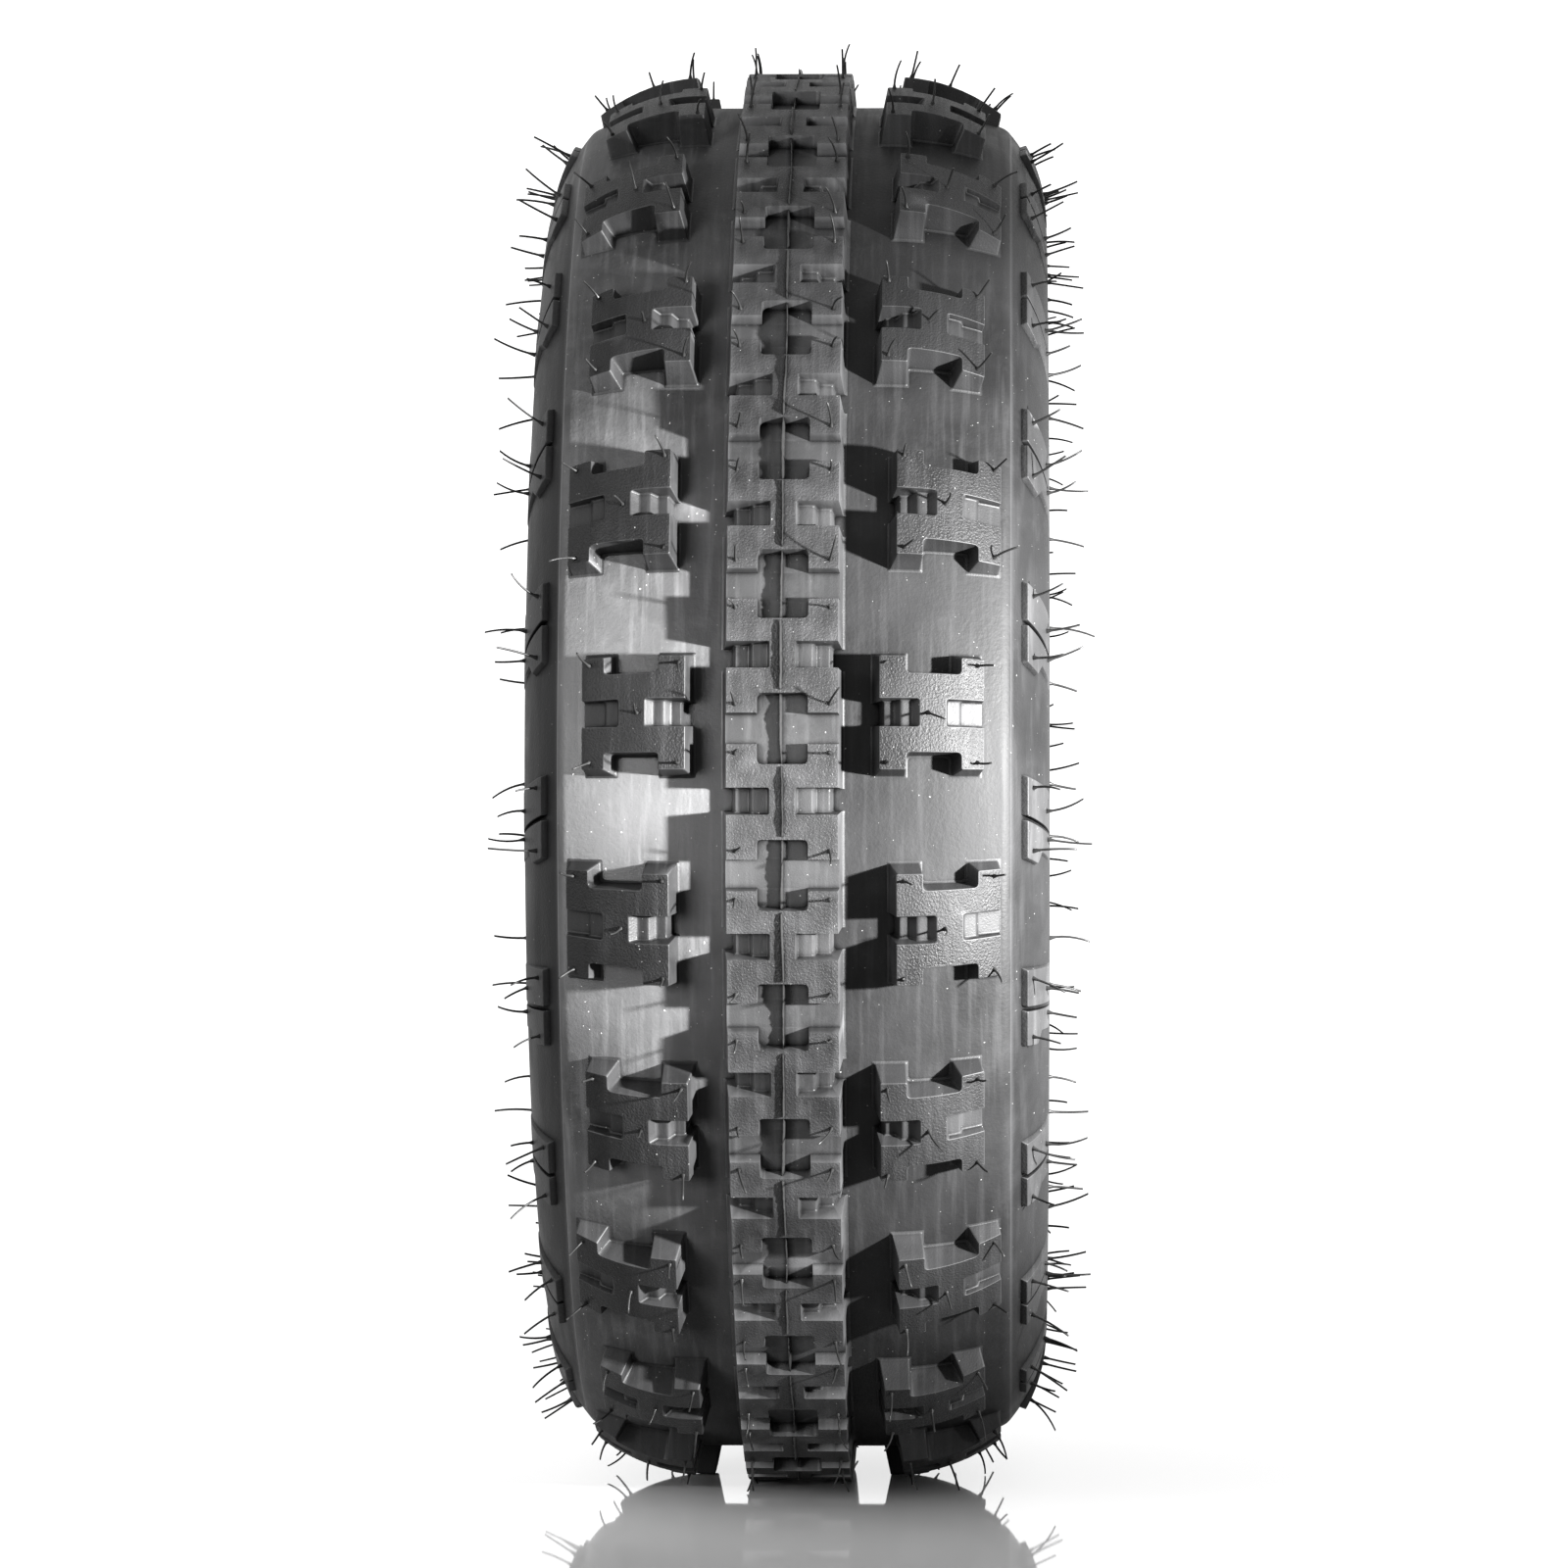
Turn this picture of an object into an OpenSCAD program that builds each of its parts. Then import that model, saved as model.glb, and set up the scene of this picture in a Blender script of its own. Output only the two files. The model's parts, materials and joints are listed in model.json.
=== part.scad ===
// Front knobby tyre for a sport quad, standing on its tread.
// Origin at the wheel centre, +Y along the axle, +Z up. Millimetres.

/* [Tyre size] */
// Overall diameter over the centre rib
overall_d = 533.4; // [530:0.1:538]
// Width over the sidewalls
section_w = 185; // [183:0.5:188]
// Diameter of the rim's bead seats
rim_d = 253.2; // [252:0.1:254]
// Width of the rim between its flanges
rim_w = 139.7; // [138:0.1:141]

/* [Casing] */
// Rubber over the plies
rubber_t = 3.4; // [3.2:0.1:3.6]
// Thickness of one fabric ply
ply_t = 1.1; // [0.9:0.1:1.2]
// Thickness of the airtight liner, and of the chafer round the bead
liner_t = 1; // [0.8:0.1:1.1]
// Height of the rim flange above the bead seat
flange_h = 14.9; // [14:0.1:15.5]

/* [Bead] */
// Width of the bead from its toe to its heel
bead_w = 16; // [15.5:0.1:16.5]
// Diameter of one bead wire
wire_d = 1; // [0.8:0.05:1.1]
// Distance between neighbouring wires
wire_step = 1.35; // [1.25:0.05:1.4]
// Wires side by side in one layer
wire_columns = 6; // [4:1:6]
// Layers of wire
wire_rows = 4; // [3:1:4]

/* [Centre rib] */
// Height of the tread above the casing
tread_depth = 12.9; // [12:0.1:14]
// Width of the rib at its top
rib_w = 38.4; // [36:0.1:40]
// Draft of each side of the rib
rib_draft = 1.2; // [0.5:0.1:2]
// Number of pattern repeats round the rib
rib_pitches = 33; // [30:1:34]
// Height of the cross recess floor above the casing
recess_floor = 7.9; // [5:0.1:9]
// Length of the cross recess pocket round the tyre
pocket_l = 24.6; // [20:0.1:28]
// Width of the cross recess pocket
pocket_w = 17.8; // [14:0.1:20]
// Length of a side notch round the tyre
notch_l = 8.8; // [6:0.1:10]
// Depth of the first floor of a side notch
notch_depth = 3.8; // [2:0.1:5]
// Step from its first floor down to its outer floor
notch_step = 3.1; // [1.5:0.1:4]
// Height of the moulding flash above the rib
flash_h = 0.8; // [0.4:0.1:1]
// How far the rib is pressed flat where the tyre stands
standing_flat = 0.6; // [0.4:0.1:1]

/* [Shoulder knobs] */
// Number of knobs on each side, alternately near the rib and further out
knobs_per_side = 22; // [20:2:22]
// Distance from the centre plane to the inner edge of the near knobs
knob_near = 33.4; // [32:0.1:35]
// How much further out the far knobs stand
knob_shift = 5.8; // [4:0.1:6]
// Width of a knob at its top
knob_w = 36.2; // [34:0.1:37]
// Length of a knob round the tyre, at its top
knob_l = 39.8; // [36:0.1:42]
// Width of the middle of the knob's H shape
knob_waist = 27.8; // [24:0.1:30]
// Width of the stepped pockets in a knob
knob_pocket = 9.4; // [7:0.1:11]

/* [Sidewall lugs] */
// Length of a lug round the tyre
lug_l = 28.4; // [24:0.1:32]
// Height of a lug above the sidewall at its edge nearest the tread
lug_h = 2.4; // [1.5:0.1:2.6]
// Width of the leaning slot in the middle of a lug
lug_slot = 1.8; // [1:0.1:3]
// Lean of a lug's ends and slot, in degrees
lug_lean = 16; // [0:1:20]

/* [Vent hairs] */
// Length of the hairs on the tread
tread_hair_l = 7; // [4:0.5:8]
// Length of the hairs on the sidewalls
side_hair_l = 12; // [8:0.5:13]
// Diameter of a hair at its root
hair_root_d = 1.1; // [0.8:0.1:1.4]
// Diameter of a hair at its tip
hair_tip_d = 0.55; // [0.4:0.05:0.7]

/* [Hidden] */
$fn = 64;

tread_r = overall_d / 2;
ground_r = tread_r - standing_flat;
crown_r = tread_r - tread_depth;
seat_r = rim_d / 2;
half_w = section_w / 2;
flange_a = rim_w / 2;
flange_r = seat_r + flange_h;

// Thickness of what wraps round the bead: two plies and the chafer.
wrap_t = 2 * ply_t + liner_t;

// The section is drawn as [distance from the centre plane, radius]. Its arcs are
// tangent to each other, and each runs between two slopes, in degrees: 0 on the
// crown, 90 on the sidewall.
crown_half_w = 33;
crown_arc = 124;
shoulder_arc = 8;
lower_arc = 72;
wing_slope = 10;
crown_slope = 20;
shoulder_slope = 50;
turn_up_slope = 120;
bead_slope = 140;
guard_slope = 122;

function normal(slope) = [sin(slope), cos(slope)];
function downhill(slope) = [cos(slope), -sin(slope)];
function fan(c, r, from, to, steps, first = 0) =
    [for (i = [first:steps]) c + r * normal(from + (to - from) * i / steps)];
function reversed(p) = [for (i = [len(p) - 1:-1:0]) p[i]];
function both_sides(p) = concat([for (i = [len(p) - 1:-1:1]) [-p[i].x, p[i].y]], p);

crown_c = [crown_half_w, crown_r - crown_arc];
shoulder_c = crown_c + (crown_arc - shoulder_arc) * normal(crown_slope);
shoulder_end = shoulder_c + shoulder_arc * normal(shoulder_slope);
side_arc = (half_w - shoulder_end.x) / (1 - sin(shoulder_slope));
side_c = shoulder_end - side_arc * normal(shoulder_slope);
lower_rise = 9.8;
lower_c = [half_w - lower_arc, (crown_r + seat_r) / 2 + lower_rise];

// Outer surface of the casing, raised by h: the tread base, its wing, the sidewall.
function base_line(h) = concat([[0, crown_r + h]],
    fan(crown_c, crown_arc + h, 0, wing_slope, 4));
function wing_line(h) = concat(fan(crown_c, crown_arc + h, wing_slope, crown_slope, 4),
    fan(shoulder_c, shoulder_arc + h, crown_slope, shoulder_slope, 4, 1));
function crown_line(h) = concat(base_line(h), [for (i = [1:len(wing_line(h)) - 1]) wing_line(h)[i]]);
function side_line(h, to) = concat(fan(side_c, side_arc + h, shoulder_slope, 90, 10),
    fan(lower_c, lower_arc + h, 90, to, 8));

// The core is the wire bundle in its rubber; plies and chafer wrap round it.
core_in = flange_a - bead_w + wrap_t;
core_out = flange_a - wrap_t;
core_bottom = seat_r + wrap_t;
core_margin = 0.5;
core_top = core_bottom + (wire_rows - 1) * wire_step + wire_d + 2 * core_margin;
core_round = 0.4;
bead_arc = 4.8;
wire_sides = 8;

// Inner side of the bead: from the lower arc, straight in, then down past the core.
function leaves_arc(h) = lower_c + (lower_arc + h) * normal(bead_slope);
bead_run = (leaves_arc(-rubber_t).x - core_in - bead_arc * (1 - sin(bead_slope)))
    / -downhill(bead_slope).x;
bead_c = leaves_arc(-rubber_t) + bead_run * downhill(bead_slope)
    + bead_arc * normal(bead_slope);
function inner_bead_line(d) = [for (i = [0:5])
    let (slope = bead_slope + (90 - bead_slope) * i / 5)
    bead_c - (bead_arc + d) * normal(slope)];

// Round the bottom of the core at distance d from it.
function under_core(d) = concat(
    fan([core_in + core_round, core_bottom + core_round], core_round + d, -90, -180, 4),
    fan([core_out - core_round, core_bottom + core_round], core_round + d, 180, 90, 4));

// The plies turn up outside the bead and meet the casing again.
turn_bend = [core_out, flange_r - 0.5];
turn_end = lower_c + (lower_arc - rubber_t) * normal(turn_up_slope);
turn_dir = (turn_end - turn_bend) / norm(turn_end - turn_bend);
turn_out = [turn_dir.y, -turn_dir.x];
inner_turn_up = 0.6;
function bend_at(d) = turn_bend + d * (turn_out + [1, 0]) / (1 + turn_out.x);
function turn_at(d, part) = turn_bend + part * (turn_end - turn_bend) + d * turn_out;

// A layer's surface from the centre plane to the bead, at distance d towards the
// cavity from the rubber, then round the core and up to its turned-up edge.
function layer_line(d) = concat(crown_line(-rubber_t - d),
    side_line(-rubber_t - d, bead_slope), inner_bead_line(d));
function wrapped_line(d, part) = concat(layer_line(d), under_core(d),
    [bend_at(d), turn_at(d, part)]);

// Rim guard: the bulge that stands over the rim flange.
guard_line = [lower_c + lower_arc * normal(guard_slope) + [-0.4, -6],
    [flange_a + 10.6, flange_r + 9.6], [flange_a + 8, flange_r + 6.8],
    [flange_a + 3.6, flange_r + 3.6], [flange_a, flange_r]];

recess_r = crown_r + recess_floor;
rib_pitch = 360 / rib_pitches;
knob_pitch = 360 / knobs_per_side;

// Where each pattern starts, in degrees down from +X.
rib_notch_start = 1.85;
rib_recess_start = -3.54;
near_knob_start = -4.77;
far_knob_start = 11.59;
lug_start = 3.41;

// Top surface of the knobs: level to knob_flat, then round.
knob_top_r = tread_r - 1.2;
knob_flat = 35;
knob_arc = 65;
knob_inner_draft = 4.8;
knob_outer_draft = 1.5;
knob_end_draft = 2.3;
knob_notch_from = 9.3;
knob_notch_to = 28.3;
knob_foot = 12;

// Pockets of a knob, in two steps each: how far in each step reaches from the
// knob's edge, the depth of each step, and where the first depth is measured.
inner_pocket_w = 12.8;
inner_step_w = 6.5;
inner_depth = 3.5;
inner_step = 3;
inner_depth_at = 9;
outer_pocket_w = 13;
outer_step_w = 7;
outer_depth = 2;
outer_step = 3.5;
outer_depth_at = 8;

function knob_slope(a) = asin(max(a - knob_flat, 0) / knob_arc);
function knob_r(a) = knob_top_r - knob_arc * (1 - cos(knob_slope(a)));

groove_top = 11;
groove_floor = 10.2;
notch_inner_a = 5.1;
notch_middle_a = 11.8;
flash_t = 0.4;

// A lug lies between two slopes of the sidewall and thins out to lug_edge.
lug_from = 56.5;
lug_to = 86;
lug_edge = 0.3;
lug_steps = 7;
lug_slot_l = 23;
lug_top = side_c + side_arc * normal(lug_from);

// Where hairs stand on the rib: distance from the centre plane, and from a recess.
rib_hair_a = 16;
rib_hair_v = 8.5;
// Where hairs stand on a knob: distance from its inner edge, and round the tyre.
knob_hair_spots = [[2.4, -17.4], [2.4, 17.4], [33.6, -17.4], [33.6, 17.4], [16.8, 0]];
// Where they stand near a lug: slope, and distance round the tyre.
lug_hair_spots = [[60, -10], [60, 12], [74, -1], [76, 9]];
side_hair_spots = [[94, -9], [97, 10]];
hair_sink = 0.15;
shortest_hair = 1.5;
// The tyre may roll this many degrees before a hair touches the ground.
hair_roll = 8;

past = 30;

rubber_black = [0.09, 0.09, 0.095];
fabric_grey = [0.42, 0.4, 0.36];
wire_bronze = [0.62, 0.5, 0.32];

module ring(points) {
    rotate([-90, 0, 0]) rotate_extrude() polygon([for (p = points) [p.y, p.x]]);
}

// A flat outline in (round the tyre, along the axle), cut from radius r outwards.
module radial_cut(r) {
    translate([r, 0, 0]) rotate([0, 90, 0]) linear_extrude(past) children();
}

// A box of radial_cut: w round the tyre, from a0 to a1 along the axle.
module pocket_cut(r, w, a0, a1) {
    radial_cut(r) translate([-w / 2, a0]) square([w, a1 - a0]);
}

// A bar along the axle whose walls open from w0 wide at r0 to w1 wide at r1.
module drafted_bar(r0, w0, r1, w1, length) {
    translate([0, -length / 2, 0]) rotate([-90, 0, 0]) linear_extrude(length)
        polygon([[r0, -w0 / 2], [r1, -w1 / 2], [r1, w1 / 2], [r0, w0 / 2]]);
}

module left() {
    mirror([0, 1, 0]) children();
}

module around(start, step, count) {
    for (i = [0:count - 1]) rotate([0, start + i * step, 0]) children();
}

module inner_liner() {
    color(rubber_black)
        ring(concat(both_sides(layer_line(wrap_t)),
            reversed(both_sides(layer_line(2 * ply_t)))));
}

module body_ply_inner() {
    color(fabric_grey)
        ring(concat(both_sides(wrapped_line(2 * ply_t, inner_turn_up)),
            reversed(both_sides(wrapped_line(ply_t, inner_turn_up)))));
}

module body_ply_outer() {
    color(fabric_grey)
        ring(concat(both_sides(wrapped_line(ply_t, 1)),
            reversed(both_sides(wrapped_line(0, 1)))));
}

// Section of the wires, [radius, distance from the centre plane].
module wire_section() {
    middle = (core_in + core_out - (wire_columns - 1) * wire_step) / 2;
    for (row = [0:wire_rows - 1], column = [0:wire_columns - 1])
        translate([core_bottom + core_margin + wire_d / 2 + row * wire_step,
            middle + column * wire_step]) circle(d = wire_d, $fn = wire_sides);
}

module bead_wires_right() {
    color(wire_bronze) rotate([-90, 0, 0]) rotate_extrude() wire_section();
}

module bead_wires_left() {
    left() bead_wires_right();
}

module bead_rubber_right() {
    color(rubber_black) rotate([-90, 0, 0]) rotate_extrude() difference() {
        polygon([for (p = concat(under_core(0), [[core_out, core_top], [core_in, core_top]]))
            [p.y, p.x]]);
        wire_section();
    }
}

module bead_rubber_left() {
    left() bead_rubber_right();
}

module bead_filler_right() {
    color(rubber_black)
        ring(concat(fan(lower_c, lower_arc - rubber_t, turn_up_slope, bead_slope, 6),
            inner_bead_line(0), [[core_in, core_top], [core_out, core_top], turn_bend]));
}

module bead_filler_left() {
    left() bead_filler_right();
}

module chafer_right() {
    color(rubber_black)
        ring(concat([[core_in - 2 * ply_t, bead_c.y]], under_core(2 * ply_t),
            [[flange_a - liner_t, flange_r], [flange_a, flange_r]],
            reversed(under_core(wrap_t)), [[core_in - wrap_t, bead_c.y]]));
}

module chafer_left() {
    left() chafer_right();
}

module sidewall_right() {
    color(rubber_black)
        ring(concat(side_line(0, guard_slope), guard_line,
            [[flange_a - liner_t, flange_r], bend_at(2 * ply_t),
                turn_at(2 * ply_t, inner_turn_up), turn_at(ply_t, inner_turn_up),
                turn_at(ply_t, 1)],
            reversed(side_line(-rubber_t, turn_up_slope))));
}

module sidewall_left() {
    left() sidewall_right();
}

module tread_base() {
    color(rubber_black)
        ring(concat(both_sides(base_line(0)), reversed(both_sides(base_line(-rubber_t)))));
}

// The strip of rubber that carries the tread down over the shoulder.
module tread_wing_right() {
    color(rubber_black) ring(concat(wing_line(0), reversed(wing_line(-rubber_t))));
}

module tread_wing_left() {
    left() tread_wing_right();
}

// Everything below the ground that the tyre stands on.
module below_ground() {
    translate([-tread_r, -half_w, -2 * tread_r - ground_r]) cube(2 * tread_r);
}

// One side notch, stepping down towards the edge of the rib.
module rib_notch() {
    pocket_cut(tread_r - notch_depth, notch_l, notch_inner_a, past);
    pocket_cut(tread_r - notch_depth - notch_step, notch_l, notch_middle_a, past);
}

// One cross recess: a groove over the rib with a wider pocket in its middle.
module rib_recess() {
    drafted_bar(recess_r, groove_floor, recess_r + past,
        groove_floor + (groove_top - groove_floor) * past / (tread_r - recess_r), 2 * past);
    pocket_cut(recess_r, pocket_l, -pocket_w / 2, pocket_w / 2);
}

module centre_rib() {
    top = rib_w / 2;
    foot = top + rib_draft;
    color(rubber_black) difference() {
        ring([[-foot, crown_r], [-top, tread_r], [top, tread_r], [foot, crown_r]]);
        around(rib_recess_start, rib_pitch, rib_pitches) rib_recess();
        around(rib_notch_start, rib_pitch, rib_pitches) {
            rib_notch();
            left() rib_notch();
        }
        below_ground();
    }
}

// The mould's parting line: a thin fin on the rib, and a web across each pocket.
module fin(r0, r1) {
    ring([[-flash_t / 2, r0], [-flash_t / 2, r1], [flash_t / 2, r1], [flash_t / 2, r0]]);
}

module parting_flash() {
    color(rubber_black) difference() {
        union() {
            fin(tread_r, tread_r + flash_h);
            around(rib_recess_start, rib_pitch, rib_pitches) intersection() {
                fin(recess_r, tread_r + flash_h / 2);
                translate([0, -flash_t, -pocket_l / 2])
                    cube([2 * tread_r, 2 * flash_t, pocket_l]);
            }
        }
        below_ground();
    }
}

// One shoulder knob whose top starts at a0 from the centre plane.
module knob(a0) {
    a1 = a0 + knob_w;
    top_slope = knob_slope(a1);
    start_slope = knob_slope(a0);
    foot_r = crown_r - knob_foot;
    waist_cut = (knob_l - knob_waist) / 2;
    inner_floor = knob_r(a0 + inner_depth_at) - inner_depth;
    outer_floor = knob_r(a1 - outer_depth_at) - outer_depth;
    difference() {
        intersection() {
            rotate([-90, 0, 0]) rotate_extrude() difference() {
                polygon([for (p = concat([[a0 - knob_inner_draft, foot_r]],
                    a0 < knob_flat ? [[a0, knob_top_r]] : [],
                    fan([knob_flat, knob_top_r - knob_arc], knob_arc, start_slope,
                        top_slope, 8),
                    [[a1 + knob_outer_draft, foot_r]])) [p.y, p.x]]);
                polygon([for (p = concat([[0, 0]], crown_line(0), [[half_w, 0]]))
                    [p.y, p.x]]);
            }
            translate([0, half_w / 2, 0])
                drafted_bar(foot_r, knob_l + 2 * knob_end_draft * (tread_r - foot_r)
                    / tread_depth, tread_r, knob_l, 2 * half_w);
        }
        for (end = [-1, 1])
            translate([0, 0, end * (knob_l - waist_cut + past) / 2])
                pocket_cut(foot_r, waist_cut + past, a0 + knob_notch_from,
                    a0 + knob_notch_to);
        pocket_cut(inner_floor, knob_pocket, a0 - past, a0 + inner_pocket_w);
        pocket_cut(inner_floor - inner_step, knob_pocket, a0 - past, a0 + inner_step_w);
        pocket_cut(outer_floor, knob_pocket, a1 - outer_pocket_w, a1 + past);
        pocket_cut(outer_floor - outer_step, knob_pocket, a1 - outer_step_w, a1 + past);
    }
}

module near_knobs_right() {
    color(rubber_black) around(near_knob_start, 2 * knob_pitch, knobs_per_side / 2)
        knob(knob_near);
}

module near_knobs_left() {
    left() near_knobs_right();
}

module far_knobs_right() {
    color(rubber_black) around(far_knob_start, 2 * knob_pitch, knobs_per_side / 2)
        knob(knob_near + knob_shift);
}

module far_knobs_left() {
    left() far_knobs_right();
}

// A bar through a sidewall, w wide round the tyre between radii r0 and r1. It leans
// with the lug, passing the middle of the lug's top edge.
module leaning_bar(w, r0, r1) {
    function at(r, v) = [r, (lug_top.y - r) * tan(lug_lean) + v];
    rotate([-90, 0, 0]) linear_extrude(2 * half_w)
        polygon([at(r0, -w / 2), at(r1, -w / 2), at(r1, w / 2), at(r0, w / 2)]);
}

// One low lug on the upper sidewall, with a slot from its edge nearest the tread.
module lug() {
    difference() {
        intersection() {
            ring(concat([for (i = [0:lug_steps]) let (part = i / lug_steps)
                side_c + (side_arc + lug_h + (lug_edge - lug_h) * part)
                    * normal(lug_from + (lug_to - lug_from) * part)],
                reversed(fan(side_c, side_arc, lug_from, lug_to, lug_steps))));
            leaning_bar(lug_l, seat_r, tread_r);
        }
        leaning_bar(lug_slot, lug_top.y - lug_slot_l, tread_r);
    }
}

module sidewall_lugs_right() {
    color(rubber_black) around(lug_start, knob_pitch, knobs_per_side) lug();
}

module sidewall_lugs_left() {
    left() sidewall_lugs_right();
}

// A hair at angle t, rooted at p in the section and standing along the slope.
// It is cut short near the ground, which lies straight down at 90 degrees.
module hair(t, p, slope, length) {
    root = p - hair_sink * normal(slope);
    lowest = 90 + max(abs(t - 90) - hair_roll, 0);
    drop = sin(lowest) * cos(slope);
    room = drop > 0 ? (ground_r - root.y * sin(lowest)) / drop : length;
    tall = min(length, room);
    if (tall > shortest_hair)
        rotate([0, t, 0]) translate([root.y, root.x, 0]) rotate([0, 0, slope])
            rotate([0, 90, 0]) cylinder(h = tall, d1 = hair_root_d, d2 = hair_tip_d);
}

// A distance v round the tyre, as an angle at radius r.
function turn(v, r) = v / r * 180 / PI;

module rib_hairs() {
    color(rubber_black)
        for (i = [0:rib_pitches - 1], side = [-1, 1], end = [-1, 1])
            hair(rib_recess_start + i * rib_pitch + turn(end * rib_hair_v, tread_r),
                [side * rib_hair_a, tread_r], 0, tread_hair_l);
}

module knob_hairs_right() {
    color(rubber_black)
        for (i = [0:knobs_per_side - 1]) {
            near = i % 2 == 0;
            a0 = near ? knob_near : knob_near + knob_shift;
            t = near ? near_knob_start + i * knob_pitch
                : far_knob_start + (i - 1) * knob_pitch;
            for (spot = knob_hair_spots) {
                a = a0 + spot.x;
                hair(t + turn(spot.y, knob_r(a)), [a, knob_r(a)], knob_slope(a),
                    tread_hair_l);
            }
        }
}

module knob_hairs_left() {
    left() knob_hairs_right();
}

module side_hairs_right() {
    color(rubber_black)
        for (i = [0:knobs_per_side - 1]) {
            t = lug_start + i * knob_pitch;
            for (spot = lug_hair_spots) {
                part = (spot.x - lug_from) / (lug_to - lug_from);
                p = side_c + (side_arc + lug_h + (lug_edge - lug_h) * part) * normal(spot.x);
                hair(t + turn(spot.y, p.y), p, spot.x, side_hair_l);
            }
            for (spot = side_hair_spots) {
                p = lower_c + lower_arc * normal(spot.x);
                hair(t + turn(spot.y, p.y), p, spot.x, side_hair_l);
            }
        }
}

module side_hairs_left() {
    left() side_hairs_right();
}

inner_liner();
body_ply_inner();
body_ply_outer();
bead_wires_left();
bead_wires_right();
bead_rubber_left();
bead_rubber_right();
bead_filler_left();
bead_filler_right();
chafer_left();
chafer_right();
sidewall_left();
sidewall_right();
tread_base();
tread_wing_left();
tread_wing_right();
centre_rib();
parting_flash();
near_knobs_left();
near_knobs_right();
far_knobs_left();
far_knobs_right();
sidewall_lugs_left();
sidewall_lugs_right();
rib_hairs();
knob_hairs_left();
knob_hairs_right();
side_hairs_left();
side_hairs_right();
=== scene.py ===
import json
import math
import random

import bmesh
import bpy
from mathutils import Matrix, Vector


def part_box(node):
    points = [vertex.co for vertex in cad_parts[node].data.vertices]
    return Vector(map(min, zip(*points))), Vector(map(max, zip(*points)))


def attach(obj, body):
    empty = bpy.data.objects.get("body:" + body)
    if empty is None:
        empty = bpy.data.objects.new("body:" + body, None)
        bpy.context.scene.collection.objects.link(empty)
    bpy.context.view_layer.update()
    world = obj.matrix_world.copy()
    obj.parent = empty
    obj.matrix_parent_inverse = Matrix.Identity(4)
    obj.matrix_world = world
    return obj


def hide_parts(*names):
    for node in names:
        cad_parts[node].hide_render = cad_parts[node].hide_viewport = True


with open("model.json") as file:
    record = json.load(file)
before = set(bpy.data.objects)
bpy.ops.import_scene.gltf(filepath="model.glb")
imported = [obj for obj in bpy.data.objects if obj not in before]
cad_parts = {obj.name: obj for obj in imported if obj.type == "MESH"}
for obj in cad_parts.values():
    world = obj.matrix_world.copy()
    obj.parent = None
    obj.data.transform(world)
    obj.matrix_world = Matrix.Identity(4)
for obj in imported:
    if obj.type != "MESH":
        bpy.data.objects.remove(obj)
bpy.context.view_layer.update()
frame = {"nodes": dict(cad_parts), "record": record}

# Lengths are millimetres until a mesh is made, which turns them into metres.
MM = 0.001


# ---------------------------------------------------------------- sizes from the frame

def reach(node, corner, axis):
    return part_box(node)[corner][axis] / MM


TREAD_R = reach("centre_rib", 1, 0)
GROUND_R = -reach("centre_rib", 0, 2)
CROWN_R = reach("tread_base", 1, 0)
HALF_W = reach("sidewall_right", 1, 1)
FLANGE_A = reach("chafer_right", 1, 1)
SEAT_R = frame["record"]["mounts"][0]["dims"]["r_mm"]
FLANGE_R = reach("chafer_right", 1, 0)
RIB_FOOT = reach("centre_rib", 1, 1)
NEAR_FOOT = reach("near_knobs_right", 0, 1)
FAR_FOOT = reach("far_knobs_right", 0, 1)
TREAD_DEPTH = TREAD_R - CROWN_R

# The casing's section: arcs between slopes, 0 on the crown and 90 degrees on the side.
CROWN_HALF_W = 33
CROWN_ARC = 124
SHOULDER_ARC = 8
LOWER_ARC = 72
CROWN_SLOPE = 20
SHOULDER_SLOPE = 50
GUARD_SLOPE = 122
LOWER_CENTRE_SHIFT = 9.8
RUBBER_T = 3.4
RING_STEPS = 480

# Where each row's first block stands, in degrees downwards from the front of the tyre.
RIB_NOTCH_START = 1.85
RIB_RECESS_START = -3.54
NEAR_START = -4.77
FAR_START = 11.59
LUG_START = 3.41

# The centre rib.
RIB_PITCHES = 33
RIB_W = 38.4
RIB_PITCH = 2 * math.pi * TREAD_R / RIB_PITCHES
RECESS = 5.0

# The shoulder knobs, whose tops follow an arc outside the flat middle of the tread.
KNOBS = 22
KNOB_W = 36.2
KNOB_L = 39.8
KNOB_FLAT = 35
KNOB_ARC = 65
KNOB_TOP_R = TREAD_R - 1.2
KNOB_FLARE = 2.39
KNOB_LEAN = 0.8
NEAR_A = NEAR_FOOT + KNOB_FLARE
FAR_A = FAR_FOOT + KNOB_FLARE

# The sidewall lugs: the slope on the section where they begin, how far they lean, their height.
LUG_SLOPE = 56.5
LUG_LEAN = 0.29
LUG_H = 2.4

# Blocks reach this far into the casing, and are flared this much where they meet it.
SUNK = 0.8
FOOT_FLARE = 1.0
# Cutters stand this far above the block that they cut.
ABOVE = 1.0
# A face this near a block's top counts as its top.
TOP_TOLERANCE = 0.02
# Edges that turn more than this are bevelled, and points nearer than this are joined.
BEVEL_FROM = 38
WELD = 0.004
SLIVER = 0.002
CUTTER_BEVEL = 0.7

SIDES = ((-1, "left"), (1, "right"))


def normal(slope):
    """Outward direction, (axial, radial), where the section has this slope in degrees."""
    t = math.radians(slope)
    return Vector((math.sin(t), math.cos(t)))


def fan(c, r, start, end, steps, first=0):
    """Points on an arc about c between two slopes, without the first few if asked."""
    return [c + r * normal(start + (end - start) * i / steps) for i in range(first, steps + 1)]


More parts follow.
